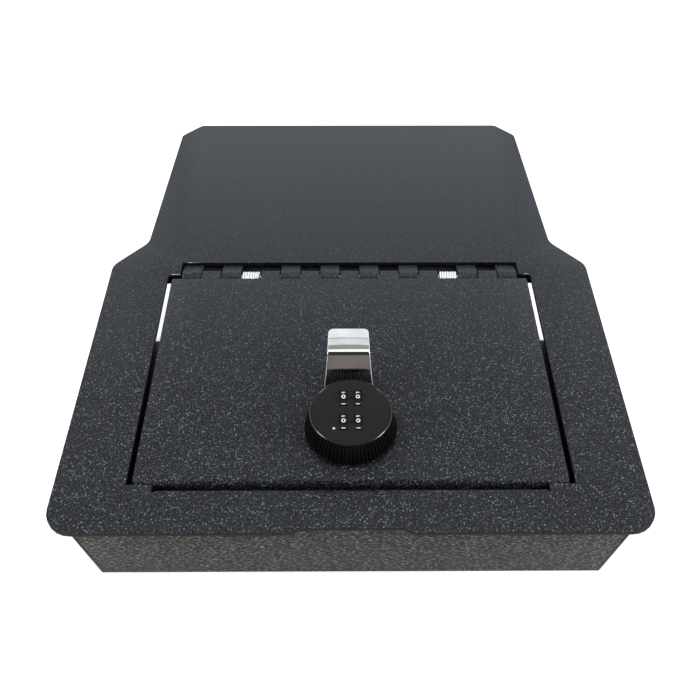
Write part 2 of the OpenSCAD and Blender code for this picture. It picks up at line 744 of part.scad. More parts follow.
// Hub and tip circles joined by their outer tangents
function cam_outline() =
    let (hub = cam_w / 2, end = cam_tip_w / 2, reach = cam_l - end, lean = acos((hub - end) / reach))
    concat(
        [for (k = [0 : 3 * arc_steps]) let (a = lean + (360 - 2 * lean) * k / (3 * arc_steps))
            hub * [cos(a), sin(a)]],
        [for (k = [0 : 2 * arc_steps]) let (a = -lean + 2 * lean * k / (2 * arc_steps))
            [reach, 0] + end * [cos(a), sin(a)]]);

module lock_cam() {
    color("#a3a6aa") translate([0, knob_y, cam_under]) difference() {
        linear_extrude(cam_t) polygon(cam_outline());
        cube([square_w + 2 * fit, square_w + 2 * fit, 3 * cam_t], center = true);
    }
}

module cam_screw() {
    color("#a3a6aa") translate([0, knob_y, cam_under]) difference() {
        union() {
            translate([0, 0, -screw_head_h]) cylinder(r = screw_head_r, h = screw_head_h);
            translate([0, 0, -1]) cylinder(r = screw_r, h = screw_depth);
        }
        translate([0, 0, -screw_head_h]) cube([0.9, 3 * screw_head_r, 1.6], center = true);
    }
}

echo(least_spring_gap = least_gap(spring_route(), wire_d));
echo(least_pin_spring_gap = least_gap(pin_spring_route(), pin_wire_d));

top_plate();
tray_sheet();
left_side_plate();
right_side_plate();
door_rests();
hinge_leaf();
hinge_pin();
leaf_studs();
leaf_nuts();
left_spring();
right_spring();
door_panel();
finger_pull();
lock_body();
lock_washer();
lock_nut();
knob_shell();
knob_face();
dial_carrier();
front_dial_shaft();
rear_dial_shaft();
lock_spindle();
lock_cam();
cam_screw();
code_pin_spring();
code_pin();
front_left_dial();
front_right_dial();
rear_left_dial();
rear_right_dial();
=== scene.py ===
import math

import bmesh
import bpy
from mathutils import Matrix, Vector


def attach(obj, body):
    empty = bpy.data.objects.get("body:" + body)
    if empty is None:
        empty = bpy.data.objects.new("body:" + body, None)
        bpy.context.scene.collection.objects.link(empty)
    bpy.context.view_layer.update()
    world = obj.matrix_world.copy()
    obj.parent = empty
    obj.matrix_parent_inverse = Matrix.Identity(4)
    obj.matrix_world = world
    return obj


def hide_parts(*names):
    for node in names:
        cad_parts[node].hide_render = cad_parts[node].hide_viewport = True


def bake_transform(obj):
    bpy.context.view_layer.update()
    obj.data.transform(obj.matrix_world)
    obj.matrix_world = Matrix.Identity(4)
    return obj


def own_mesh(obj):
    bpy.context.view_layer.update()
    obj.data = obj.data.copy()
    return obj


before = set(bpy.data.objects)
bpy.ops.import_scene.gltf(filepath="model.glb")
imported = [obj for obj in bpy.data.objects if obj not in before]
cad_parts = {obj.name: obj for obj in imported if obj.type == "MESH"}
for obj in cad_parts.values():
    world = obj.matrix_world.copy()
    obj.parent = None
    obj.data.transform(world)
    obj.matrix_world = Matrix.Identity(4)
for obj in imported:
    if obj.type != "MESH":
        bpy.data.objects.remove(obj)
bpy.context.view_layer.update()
print("frame loaded")

# Places below are in millimetres, as in the part's source; meshes are in metres
mm = 0.001
white = (1.0, 1.0, 1.0, 1.0)

plate = {"top": 55.0, "thick": 2.7, "edge": 0.3}
wallEdge = 0.35
faceEdge = 0.12
hinge = {"y": 10.2, "z": 50.0, "barrel": 5.0, "segment": 12.7, "count": 17}
knobPlace = {"y": -114.45, "face": 71.0}


# Small helpers
def addNode(tree, kind, sockets=None, **settings):
    item = tree.nodes.new(kind)
    for key, value in settings.items():
        setattr(item, key, value)
    for key, value in (sockets or {}).items():
        if isinstance(value, bpy.types.NodeSocket):
            tree.links.new(value, item.inputs[key])
        else:
            item.inputs[key].default_value = value
    return item


def newObject(name, mesh):
    piece = bpy.data.objects.new(name, mesh)
    bpy.context.scene.collection.objects.link(piece)
    return piece


def meshOf(name, build):
    mesh = bpy.data.meshes.new(name)
    work = bmesh.new()
    build(work)
    bmesh.ops.recalc_face_normals(work, faces=work.faces)
    work.to_mesh(mesh)
    work.free()
    return mesh


def smoothByAngle(mesh, degrees):
    mesh.polygons.foreach_set("use_smooth", [True] * len(mesh.polygons))
    mesh.set_sharp_from_angle(angle=math.radians(degrees))


def paint(piece, material):
    piece.data.materials.clear()
    piece.data.materials.append(material)


def frozen(piece):
    graph = bpy.context.evaluated_depsgraph_get()
    mesh = bpy.data.meshes.new_from_object(piece.evaluated_get(graph), depsgraph=graph)
    piece.modifiers.clear()
    piece.data = mesh
    return piece


def handOver(piece, body, slot, *nodes):
    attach(piece, body)
    if nodes:
        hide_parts(*nodes)


# Materials
def newMaterial(name):
    material = bpy.data.materials.new(name)
    material.use_nodes = True
    tree = material.node_tree
    tree.nodes.clear()
    out = addNode(tree, "ShaderNodeOutputMaterial")
    shader = addNode(tree, "ShaderNodeBsdfPrincipled")
    tree.links.new(shader.outputs["BSDF"], out.inputs["Surface"])
    return material, tree, shader


def objectCoords(tree, stretch=(1.0, 1.0, 1.0)):
    place = addNode(tree, "ShaderNodeTexCoord").outputs["Object"]
    return addNode(tree, "ShaderNodeMapping", {"Vector": place, "Scale": stretch}).outputs["Vector"]


def grain(tree, coords, size, detail=2.0, roughness=0.55):
    return addNode(tree, "ShaderNodeTexNoise", {
        "Vector": coords, "Scale": 1 / (size * mm), "Detail": detail, "Roughness": roughness,
    }).outputs["Fac"]


def ramp(tree, value, stops):
    item = addNode(tree, "ShaderNodeValToRGB", {"Fac": value})
    points = item.color_ramp.elements
    while len(points) < len(stops):
        points.new(0.5)
    for point, (at, colour) in zip(points, stops):
        point.position = at
        point.color = (*colour, 1.0) if len(colour) == 3 else colour
    return item.outputs["Color"]


def remap(tree, value, low, high, toLow, toHigh):
    return addNode(tree, "ShaderNodeMapRange", {
        "Value": value, "From Min": low, "From Max": high, "To Min": toLow, "To Max": toHigh,
    }).outputs["Result"]


def blendColours(tree, factor, first, second, mode="MIX"):
    item = addNode(tree, "ShaderNodeMix", data_type="RGBA", blend_type=mode)
    for index, value in ((0, factor), (6, first), (7, second)):
        if isinstance(value, bpy.types.NodeSocket):
            tree.links.new(value, item.inputs[index])
        else:
            item.inputs[index].default_value = value
    return item.outputs[2]


def maths(tree, operation, first, second):
    return addNode(tree, "ShaderNodeMath", {0: first, 1: second}, operation=operation).outputs[0]


def relief(tree, height, strength, distance):
    return addNode(tree, "ShaderNodeBump", {
        "Height": height, "Strength": strength, "Distance": distance * mm,
    }).outputs["Normal"]


# Sizes in mm. dot is the size of the single specks, which take the glint colour; in textureCoat the dark and
# mid colours are the coat's grain, and the bright speck and glint colours paint its sparkling highlights.
# Between fadeFrom and fadeTo, in metres along Y, the pattern gives way to calm.
coatLooks = {
    "textureCoat": {
        "grain": 0.95, "fine": 0.5, "patch": 11.0, "dot": 1.15, "stretch": (1.0, 1.0, 1.0), "bump": 0.32,
        "stops": (0.4, 0.52, 0.68), "dark": (0.0028, 0.0032, 0.0046), "mid": (0.0105, 0.0118, 0.0155),
        "speck": (0.088, 0.095, 0.112), "glint": (0.28, 0.3, 0.35), "calm": (0.0308, 0.0362, 0.0448),
        "toneA": (0.95, 0.95, 0.93), "toneB": (0.98, 1.0, 1.1),
        "fadeFrom": -0.09, "fadeTo": 0.06, "fade": 0.16, "rough": (0.32, 0.5), "specular": 0.2,
    },
    "wallCoat": {
        "grain": 0.95, "fine": 0.6, "patch": 20.0, "dot": 2.2, "stretch": (0.42, 1.0, 1.6), "bump": 0.42,
        "stops": (0.447, 0.522, 0.605), "dark": (0.0004, 0.0005, 0.0005), "mid": (0.004, 0.0044, 0.0044),
        "speck": (0.285, 0.293, 0.289), "glint": (0.034, 0.035, 0.035), "calm": (0.02, 0.0205, 0.0195),
        "toneA": (0.92, 0.94, 0.92), "toneB": (1.06, 1.05, 1.07),
        "fadeFrom": 0.3, "fadeTo": 0.4, "fade": 1.0, "rough": (0.36, 0.55), "specular": 0.15,
    },
    # a darker coat that paints the shade on cut edges, the door's sides and the hollow under the hinge
    "paintedShadeCoat": {
        "grain": 0.8, "fine": 0.4, "patch": 25.0, "dot": 1.2, "stretch": (1.0, 1.0, 1.0), "bump": 0.15,
        "stops": (0.38, 0.52, 0.7), "dark": (0.002, 0.0021, 0.0024), "mid": (0.006, 0.0063, 0.007),
        "speck": (0.05, 0.052, 0.056), "glint": (0.03, 0.031, 0.033), "calm": (0.006, 0.0063, 0.007),
        "toneA": (0.92, 0.94, 0.92), "toneB": (1.06, 1.05, 1.07),
        "fadeFrom": 0.3, "fadeTo": 0.4, "fade": 1.0, "rough": (0.5, 0.65), "specular": 0.1,
    },
}
coatLooks["sideCoat"] = {
    **coatLooks["wallCoat"], "stretch": (1.0, 0.6, 1.2), "bump": 0.25, "dark": (0.003, 0.0031, 0.0032),
    "mid": (0.008, 0.0084, 0.0086), "speck": (0.06, 0.062, 0.064)}

# Places where the coat is rubbed thin on an edge, lightened as bare metal and as a painted glint: centre and
# half size in mm, and how bare and bright
bareAndGlintColour = (0.62, 0.57, 0.56, 1.0)
wearAndGlintSpots = [((-113.2, 8.5, 55.0), (1.8, 0.75, 0.9), 1.0), ((-110.2, 8.5, 55.0), (3.2, 0.6, 0.8), 0.6),
             ((113.9, 8.5, 55.0), (1.9, 0.7, 0.9), 0.7), ((-103.8, 19.9, 55.0), (1.8, 0.6, 0.8), 0.7),
             ((-101.8, 19.9, 55.0), (5.0, 0.5, 0.7), 0.25)]


def wearAndGlintMask(tree, breakUp):
    total = 0.0
    place = addNode(tree, "ShaderNodeTexCoord").outputs["Object"]
    for centre, half, amount in wearAndGlintSpots:
        scale = tuple(1 / (h * mm) for h in half)
        moved = addNode(tree, "ShaderNodeVectorMath", {0: place, 1: tuple(c * mm for c in centre)},
                        operation="SUBTRACT").outputs["Vector"]
        sized = addNode(tree, "ShaderNodeVectorMath", {0: moved, 1: scale},
                        operation="MULTIPLY").outputs["Vector"]
        far = addNode(tree, "ShaderNodeVectorMath", {0: sized}, operation="LENGTH").outputs["Value"]
        rough = maths(tree, "ADD", far, maths(tree, "MULTIPLY", breakUp, 0.5))
        total = maths(tree, "ADD", remap(tree, rough, 0.85, 1.25, amount, 0.0), total)
    return total


def coatMaterial(name, look, wearAndGlint=False):
    material, tree, shader = newMaterial(name)
    coords = objectCoords(tree, look["stretch"])
    coarse = grain(tree, coords, look["grain"], 2.0, 0.6)
    fine = grain(tree, coords, look["fine"], 1.0, 0.5)
    patch = grain(tree, coords, look["patch"], 3.0, 0.5)
    cells = addNode(tree, "ShaderNodeTexVoronoi", {
        "Vector": coords, "Scale": 1 / (1.5 * look["grain"] * mm), "Smoothness": 0.6,
    }, feature="SMOOTH_F1").outputs["Distance"]
    peaks = addNode(tree, "ShaderNodeTexVoronoi", {
        "Vector": coords, "Scale": 1 / (look["dot"] * mm)}).outputs
    chance = addNode(tree, "ShaderNodeSeparateColor", {"Color": peaks["Color"]}).outputs[0]
    dots = maths(tree, "MULTIPLY", remap(tree, peaks["Distance"], 0.12, 0.42, 1.0, 0.0),
                 remap(tree, chance, 0.55, 0.95, 0.0, 1.0))
    along = addNode(tree, "ShaderNodeSeparateXYZ", {
        "Vector": addNode(tree, "ShaderNodeTexCoord").outputs["Object"]}).outputs["Y"]
    keep = remap(tree, along, look["fadeFrom"], look["fadeTo"], 1.0, look["fade"])
    mixed = maths(tree, "ADD", maths(tree, "MULTIPLY", coarse, 0.7), maths(tree, "MULTIPLY", fine, 0.3))
    specks = ramp(tree, mixed, list(zip(look["stops"], (look["dark"], look["mid"], look["speck"]))))
    specks = blendColours(tree, dots, specks, (*look["glint"], 1.0))
    tint = ramp(tree, patch, [(0.35, look["toneA"]), (0.65, look["toneB"])])
    toned = blendColours(tree, 1.0, specks, tint, "MULTIPLY")
    colour = blendColours(tree, keep, (*look["calm"], 1.0), toned)
    # rubbed edges are lightened both as wear and as a painted glint
    if wearAndGlint:
        colour = blendColours(tree, wearAndGlintMask(tree, coarse), colour, bareAndGlintColour)
    tree.links.new(colour, shader.inputs["Base Color"])
    tree.links.new(remap(tree, coarse, 0.3, 0.7, *look["rough"]), shader.inputs["Roughness"])
    height = maths(tree, "ADD", mixed, maths(tree, "MULTIPLY", cells, 0.5))
    normal = relief(tree, height, keep, look["bump"])
    tree.links.new(normal, shader.inputs["Normal"])
    shader.inputs["Specular IOR Level"].default_value = look["specular"]
    return material


metalLooks = {
    "zincSteel": {"colour": (0.5, 0.51, 0.53), "rough": (0.28, 0.42),
                  "grain": 0.35, "bump": 0.012, "metal": 1.0},
    # near-white and partly diffuse: the zinc wire's colour with its highlight painted in
    "springWire": {"colour": (0.93, 0.97, 0.97), "rough": (0.38, 0.48),
                   "grain": 0.5, "bump": 0.004, "metal": 0.4},
    "chromePlate": {"colour": (0.8, 0.81, 0.82), "rough": (0.03, 0.06),
                    "grain": 2.0, "bump": 0.0008, "metal": 1.0},
    # the chrome pull's side edges: dull and near-white, a painted highlight
    "pullEdgeHighlight": {"colour": (0.92, 0.93, 0.94), "rough": (0.5, 0.6),
                 "grain": 0.5, "bump": 0.004, "metal": 0.3},
    "plainBrass": {"colour": (0.96, 0.88, 0.62), "rough": (0.3, 0.45),
                   "grain": 0.6, "bump": 0.008, "metal": 1.0},
}
stainSize = 9.0


def metalMaterial(name, look):
    material, tree, shader = newMaterial(name)
    coords = objectCoords(tree)
    mark = grain(tree, coords, look["grain"], 3.0)
    stain = grain(tree, coords, stainSize)
    base = look["colour"]
    darker = tuple(0.88 * c for c in base)
    tree.links.new(ramp(tree, stain, [(0.35, darker), (0.65, base)]), shader.inputs["Base Color"])
    tree.links.new(remap(tree, mark, 0.3, 0.7, *look["rough"]), shader.inputs["Roughness"])
    tree.links.new(relief(tree, mark, 0.5, look["bump"]), shader.inputs["Normal"])
    shader.inputs["Metallic"].default_value = look["metal"]
    return material


blackLooks = {
    "knobShell": {"low": (0.0012, 0.0012, 0.0014), "high": (0.0022, 0.0022, 0.0025), "rough": (0.36, 0.44),
                  "grain": 0.5, "bump": 0.003, "specular": 0.17},
    "knobBand": {"low": (0.0025, 0.0025, 0.0028), "high": (0.004, 0.004, 0.0043), "rough": (0.17, 0.21),
                 "grain": 0.5, "bump": 0.002, "specular": 0.62},
    "knobFace": {"low": (0.0085, 0.009, 0.0093), "high": (0.012, 0.0125, 0.013), "rough": (0.42, 0.5),
                 "grain": 0.3, "bump": 0.006, "specular": 0.13},
    "dialBody": {"low": (0.0055, 0.0055, 0.0058), "high": (0.0085, 0.0085, 0.0088), "rough": (0.42, 0.5),
                 "grain": 0.4, "bump": 0.003, "specular": 0.2},
    "numeralPaint": {"low": (0.8, 0.8, 0.79), "high": (0.9, 0.9, 0.89), "rough": (0.45, 0.6),
                     "grain": 0.3, "bump": 0.003, "specular": 0.4},
}


def plainMaterial(name, look):
    material, tree, shader = newMaterial(name)
    coords = objectCoords(tree)
    mark = grain(tree, coords, look["grain"])
    colour = ramp(tree, mark, [(0.35, look["low"]), (0.65, look["high"])])
    tree.links.new(colour, shader.inputs["Base Color"])
    tree.links.new(remap(tree, mark, 0.3, 0.7, *look["rough"]), shader.inputs["Roughness"])
    tree.links.new(relief(tree, mark, 0.5, look["bump"]), shader.inputs["Normal"])
    shader.inputs["Specular IOR Level"].default_value = look["specular"]
    return material


textureCoat = coatMaterial("textureCoat", coatLooks["textureCoat"], wearAndGlint=True)
paintedShadeCoat = coatMaterial("paintedShadeCoat", coatLooks["paintedShadeCoat"])
wallCoat = coatMaterial("wallCoat", coatLooks["wallCoat"])
sideCoat = coatMaterial("sideCoat", coatLooks["sideCoat"])
zincSteel = metalMaterial("zincSteel", metalLooks["zincSteel"])
springWire = metalMaterial("springWire", metalLooks["springWire"])
chromePlate = metalMaterial("chromePlate", metalLooks["chromePlate"])
pullEdgeHighlight = metalMaterial("pullEdgeHighlight", metalLooks["pullEdgeHighlight"])
plainBrass = metalMaterial("plainBrass", metalLooks["plainBrass"])
knobShellBlack = plainMaterial("knobShellBlack", blackLooks["knobShell"])
knobBandBlack = plainMaterial("knobBandBlack", blackLooks["knobBand"])
knobFaceBlack = plainMaterial("knobFaceBlack", blackLooks["knobFace"])
dialBlack = plainMaterial("dialBlack", blackLooks["dialBody"])
numeralPaint = plainMaterial("numeralPaint", blackLooks["numeralPaint"])
print("materials made")

# Nodes that are shown as they come from the frame; those not named here are zinc plated
nodeFinish = {"door_rests": textureCoat, "lock_nut": plainBrass, "code_pin": plainBrass}
for nodeName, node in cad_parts.items():
    paint(node, nodeFinish.get(nodeName, zincSteel))


# Sheet metal with eased edges
def eased(nodeName, pieceName, body, slotName, finishes, edge, whichFinish=None, segments=2, limit=40):
    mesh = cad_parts[nodeName].data.copy()
    mesh.name = pieceName
    mesh.materials.clear()
    for finish in finishes:
        mesh.materials.append(finish)
    work = bmesh.new()
    work.from_mesh(mesh)
    bmesh.ops.remove_doubles(work, verts=work.verts, dist=1e-6)
    bmesh.ops.dissolve_limit(work, angle_limit=math.radians(0.5), verts=work.verts, edges=work.edges)
    sharp = [e for e in work.edges if e.is_manifold and e.calc_face_angle(0.0) > math.radians(limit)]
    bmesh.ops.bevel(work, geom=sharp, offset=edge * mm, segments=segments, profile=0.5,
                    affect="EDGES", clamp_overlap=True)
    bmesh.ops.triangulate(work, faces=[f for f in work.faces if len(f.verts) > 4])
    for face in work.faces:
        place = face.calc_center_median() / mm
        face.material_index = whichFinish(place, face.normal) if whichFinish else 0
    work.to_mesh(mesh)
    work.free()
    smoothByAngle(mesh, 35)
    handOver(newObject(pieceName, mesh), body, slotName, nodeName)


# Which of a piece's finishes a face takes, from its place in mm and the way it faces. The darker coat on cut
# edges, the door's sides and under the hinge is painted shade.
def shadedCutFaces(place, normal):
    # upright cut edges take the darker coat as painted shade
    return 1 if abs(normal.z) < 0.5 else 0


def shadedSideFaces(place, normal):
    # the door's side edges take the darker coat as painted shade
    return 1 if abs(normal.x) > 0.35 else 0


def trayFaces(place, normal):
    # outside, the inside of floor and front wall, and what lies under the hinge, which takes the darker coat as
    # painted shade
    if place.y > 0 and (normal.y < -0.2 or normal.z > 0.5) and place.z > 3:
        return 2
    return 1 if normal.z > 0.5 or normal.y > 0.2 else 0


def innerFaces(place, normal):
    return 1 if place.x * normal.x < 0 else 0


def grooveFaces(place, normal):
    # the two index grooves between the windows, in the darker black as painted shade in the recess
    depth = knobPlace["face"] - place.z
    return 1 if abs(place.x) < 1.3 and 0.005 < depth < 0.5 else 0


eased("top_plate", "topPlate", "case", "texture_coat", [textureCoat, paintedShadeCoat], plate["edge"], shadedCutFaces)
eased("door_panel", "doorPanel", "door", "texture_coat", [textureCoat, paintedShadeCoat], plate["edge"], shadedSideFaces)
eased("hinge_leaf", "hingeLeaf", "case", "texture_coat", [textureCoat], plate["edge"])
eased("tray_sheet", "traySheet", "case", "wall_coat", [wallCoat, textureCoat, paintedShadeCoat], wallEdge, trayFaces)
eased("left_side_plate", "leftSidePlate", "case", "wall_coat", [sideCoat, textureCoat], wallEdge, innerFaces)
eased("right_side_plate", "rightSidePlate", "case", "wall_coat", [sideCoat, textureCoat], wallEdge, innerFaces)
eased("knob_face", "knobFace", "knob", "knob_black", [knobFaceBlack, knobShellBlack], faceEdge, grooveFaces)
print("sheet metal eased")


# Geometry node trees
def growTree(name, sockets):
    tree = bpy.data.node_groups.new(name, "GeometryNodeTree")
    tree.interface.new_socket("Geometry", in_out="OUTPUT", socket_type="NodeSocketGeometry")
    for label, kind in sockets:
        tree.interface.new_socket(label, in_out="INPUT", socket_type=kind)
    start = addNode(tree, "NodeGroupInput")
    end = addNode(tree, "NodeGroupOutput")
    return tree, start.outputs, end.inputs["Geometry"]


def finishTree(tree, geometry, material, end):
    solid = addNode(tree, "GeometryNodeRealizeInstances", {"Geometry": geometry}).outputs["Geometry"]
    coated = addNode(tree, "GeometryNodeSetMaterial", {
        "Geometry": solid, "Material": material}).outputs["Geometry"]
    tree.links.new(coated, end)
    return tree


def makeWireTree():
    tree, given, end = growTree("wireAlongRoute", [
        ("Route", "NodeSocketObject"), ("Radius", "NodeSocketFloat"), ("Sides", "NodeSocketInt"),
        ("Material", "NodeSocketMaterial")])
    route = addNode(tree, "GeometryNodeObjectInfo", {"Object": given["Route"]}).outputs["Geometry"]
    curve = addNode(tree, "GeometryNodeMeshToCurve", {"Mesh": route}).outputs["Curve"]
    ring = addNode(tree, "GeometryNodeCurvePrimitiveCircle", {
        "Resolution": given["Sides"], "Radius": given["Radius"]}).outputs["Curve"]
    wire = addNode(tree, "GeometryNodeCurveToMesh", {
        "Curve": curve, "Profile Curve": ring, "Fill Caps": True}).outputs["Mesh"]
    return finishTree(tree, wire, given["Material"], end)


def makeRingTree():
    tree, given, end = growTree("partsInRing", [
        ("Part", "NodeSocketObject"), ("Core", "NodeSocketObject"), ("Count", "NodeSocketInt"),
        ("Turn", "NodeSocketFloat"), ("Centre", "NodeSocketVector"), ("Material", "NodeSocketMaterial")])
    part = addNode(tree, "GeometryNodeObjectInfo", {"Object": given["Part"]}).outputs["Geometry"]
    core = addNode(tree, "GeometryNodeObjectInfo", {"Object": given["Core"]}).outputs["Geometry"]
    spot = addNode(tree, "GeometryNodePoints", {"Count": given["Count"], "Position": given["Centre"]})
    index = addNode(tree, "GeometryNodeInputIndex").outputs["Index"]
    angle = addNode(tree, "ShaderNodeMath", {0: index, 1: given["Turn"]}, operation="MULTIPLY").outputs[0]
    turn = addNode(tree, "ShaderNodeCombineXYZ", {"Z": angle}).outputs["Vector"]
    placed = addNode(tree, "GeometryNodeInstanceOnPoints", {
        "Points": spot.outputs[0], "Instance": part, "Rotation": turn}).outputs["Instances"]
    both = addNode(tree, "GeometryNodeJoinGeometry")
    tree.links.new(core, both.inputs["Geometry"])
    tree.links.new(placed, both.inputs["Geometry"])
    return finishTree(tree, both.outputs["Geometry"], given["Material"], end)


def grown(name, tree, values):
    piece = newObject(name, bpy.data.meshes.new(name))
    modifier = piece.modifiers.new("shape", "NODES")
    modifier.node_group = tree
    for socket in tree.interface.items_tree:
        if socket.item_type == "SOCKET" and socket.in_out == "INPUT":
            modifier[socket.identifier] = values[socket.name]
    return frozen(piece)


def chain(name, points):
    mesh = bpy.data.meshes.new(name)
    mesh.from_pydata([tuple(p) for p in points], [(i, i + 1) for i in range(len(points) - 1)], [])
    return newObject(name, mesh)


def drop(*pieces):
    for piece in pieces:
        bpy.data.objects.remove(piece, do_unlink=True)


wireTree = makeWireTree()
ringTree = makeRingTree()


# Torsion springs. Their wire is shown thicker than it is in the source, as the coils read as solid bars.
spring = {"wire": 1.1, "shown": 1.45, "coil": 3.7, "turns": 7, "pitch": 1.6, "leg": 8.5, "lean": 19.77,
          "wallY": 1.55, "wallThick": 2.0, "clear": 0.3, "upSteps": 7, "legSteps": 6,
          "places": {"left_spring": 3, "right_spring": 13}, "stepsPerTurn": 32, "sides": 14}


def springRoute(middleX):
    lean = math.radians(spring["lean"])
    wall = Vector((0, math.cos(lean), -math.sin(lean)))
    axis = Vector((0, hinge["y"], hinge["z"]))
    face = Vector((0, spring["wallY"], 0)) - spring["wallThick"] * wall
    reach = -(axis - face).dot(wall)
    start = -math.pi / 2 - lean
    sweep = 2 * math.pi * spring["turns"] - lean
    length = spring["pitch"] * sweep / (2 * math.pi)
    low, high = middleX - length / 2, middleX + length / 2

    def around(angle):
        return Vector((0, spring["coil"] * math.cos(angle), spring["coil"] * math.sin(angle)))

    points = []
    first = around(start)
    for part in range(spring["upSteps"]):
        out = (abs(reach) - spring["clear"]) * (1 - part / spring["upSteps"])
        points.append(axis + first + out * wall + Vector((low, 0, 0)))
    steps = round(spring["turns"] * spring["stepsPerTurn"])
    for step in range(steps + 1):
        share = step / steps
        points.append(axis + around(start - sweep * share) + Vector((low + length * share, 0, 0)))
    bend = spring["wire"]
    under = hinge["barrel"] - plate["thick"] - spring["clear"]
    for part in range(1, spring["legSteps"]):
        along = -(spring["leg"] - bend) * part / spring["legSteps"]
        points.append(axis + Vector((high, along, -spring["coil"])))
    for angle in range(0, 91, 15):
        turn = math.radians(angle)
        points.append(axis + Vector((high, bend - spring["leg"] - bend * math.sin(turn),
                                     bend - spring["coil"] - bend * math.cos(turn))))
    points.append(axis + Vector((high, -spring["leg"], under)))
    return [p * mm for p in points], low * mm, high * mm


for nodeName, place in spring["places"].items():
    middle = (place + 0.5 - hinge["count"] / 2) * hinge["segment"]
    points, low, high = springRoute(middle)
    route = chain("springRoute", points)
    piece = grown(nodeName.replace("_s", "S"), wireTree, {
        "Route": route, "Radius": spring["shown"] / 2 * mm, "Sides": spring["sides"],
        "Material": springWire})
    drop(route)
    smoothByAngle(piece.data, 60)
    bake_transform(piece)
    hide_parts(nodeName)
print("torsion springs wound")


# Code pin's spring, with a closed coil at each end; it is drawn at full length and does not shorten as the pin
# is pressed
pinSpring = {"x": -8.9, "y": knobPlace["y"] - 11.4, "foot": 61.9, "top": 67.3, "coil": 1.2, "wire": 0.4,
             "turns": 5, "stepsPerTurn": 20, "closed": 0.42, "press": 1.2, "sides": 8}


def pinSpringRoute():
    low, high = pinSpring["foot"] + pinSpring["wire"] / 2, pinSpring["top"] - pinSpring["wire"] / 2
    closed = pinSpring["closed"]
    points = []
    for step in range(pinSpring["turns"] * pinSpring["stepsPerTurn"] + 1):
        turn = step / pinSpring["stepsPerTurn"]
        left = pinSpring["turns"] - turn
        height = low + closed + (high - low - 2 * closed) * (turn - 1) / (pinSpring["turns"] - 2)
        if turn < 1:
            height = low + closed * turn
        elif left < 1:
            height = high - closed * left
        x = pinSpring["x"] + pinSpring["coil"] * math.cos(2 * math.pi * turn)
        y = pinSpring["y"] + pinSpring["coil"] * math.sin(2 * math.pi * turn)
        points.append(Vector((x, y, height)) * mm)
    return points


route = chain("springRoute", pinSpringRoute())
piece = grown("codePinSpring", wireTree, {
    "Route": route, "Radius": pinSpring["wire"] / 2 * mm, "Sides": pinSpring["sides"],
    "Material": springWire})
drop(route)
smoothByAngle(piece.data, 60)
handOver(piece, "knob", "spring_steel", "code_pin_spring")
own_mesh(piece)
print("code pin's spring wound")


# Knob shell
knob = {"foot": 57.1, "footR": 25.3, "topR": 21.9, "ribTop": 69.3, "bandR": 22.2, "bandFoot": 68.9,
        "bevelZ": 70.4, "bevel": 0.6, "faceR": 20.85, "faceFoot": 69.0, "ledgeR": 18.8, "ledgeFoot": 67.6,
        "skin": 2.2, "ribs": 72, "ribDepth": 0.7, "ribShare": 0.62, "sides": 144}


def lathe(work, profile, centre, sides):
    rings = []
    for radius, height in profile:
        rings.append([work.verts.new(centre + Vector((radius * math.cos(2 * math.pi * i / sides),
                                                      radius * math.sin(2 * math.pi * i / sides),
                                                      height)) * mm) for i in range(sides)])
    for j in range(len(rings)):
        near, far = rings[j], rings[(j + 1) % len(rings)]
        for i in range(sides):
            k = (i + 1) % sides
            work.faces.new((near[i], near[k], far[k], far[i]))


knobCentre = Vector((0, knobPlace["y"] * mm, 0))
base = knob["ribDepth"]
bevelTop = knob["bevelZ"] + knob["bevel"]
# up the outside, over the bevel, down round the face's seat and back along the skin
shellProfile = [
    (knob["footR"] - base - 0.15, knob["foot"]), (knob["footR"] - base, knob["foot"] + 0.2),
    (knob["topR"] - base, knob["bandFoot"] - 0.35), (knob["bandR"] - 0.5, knob["bandFoot"] - 0.15),
    (knob["bandR"] - 0.06, knob["bandFoot"] + 0.02), (knob["bandR"], knob["bandFoot"] + 0.2),
    (knob["bandR"], knob["bevelZ"] - 0.06), (knob["bandR"] - 0.05, knob["bevelZ"] + 0.06),
    (knob["bandR"] - knob["bevel"] + 0.08, bevelTop - 0.06), (knob["bandR"] - knob["bevel"] - 0.06, bevelTop),
    (knob["faceR"] + 0.1, bevelTop), (knob["faceR"], bevelTop - 0.1),
    (knob["faceR"], knob["faceFoot"]), (knob["ledgeR"], knob["faceFoot"]),
    (knob["ledgeR"], knob["ledgeFoot"]), (knob["footR"] - knob["skin"], knob["foot"]),
]
shellCore = newObject("shellCore", meshOf("shellCore", lambda work: lathe(
    work, shellProfile, knobCentre, knob["sides"])))


def ribShape(work):
    # rows from the foot to the top, each a flattened arch of seven points
    rows = []
    for radius, height, share in (
            (knob["footR"] - base, knob["foot"] + 0.05, 1.0),
            (knob["footR"], knob["foot"] + 0.35, 1.0),
            (knob["topR"] + 0.25, knob["ribTop"] - 0.9, 1.0),
            (knob["topR"] - 0.1, knob["ribTop"] - 0.15, 0.8),
            (knob["topR"] - base, knob["ribTop"] + 0.05, 0.6)):
        half = math.pi * radius / knob["ribs"] * knob["ribShare"] * share
        low = radius - base if 0 < len(rows) < 4 else radius - 0.05
        flank = low + 0.45 * (radius - low)
        arch = [(-half * 1.15, low - 0.12), (-half, flank), (-half * 0.62, radius - 0.08), (0, radius),
                (half * 0.62, radius - 0.08), (half, flank), (half * 1.15, low - 0.12)]
        rows.append([work.verts.new(Vector((r, side, height)) * mm) for side, r in arch])
    for j in range(len(rows) - 1):
        for i in range(6):
            work.faces.new((rows[j][i], rows[j][i + 1], rows[j + 1][i + 1], rows[j + 1][i]))
        work.faces.new((rows[j][6], rows[j][0], rows[j + 1][0], rows[j + 1][6]))
    work.faces.new(rows[0][::-1])
    work.faces.new(rows[-1])


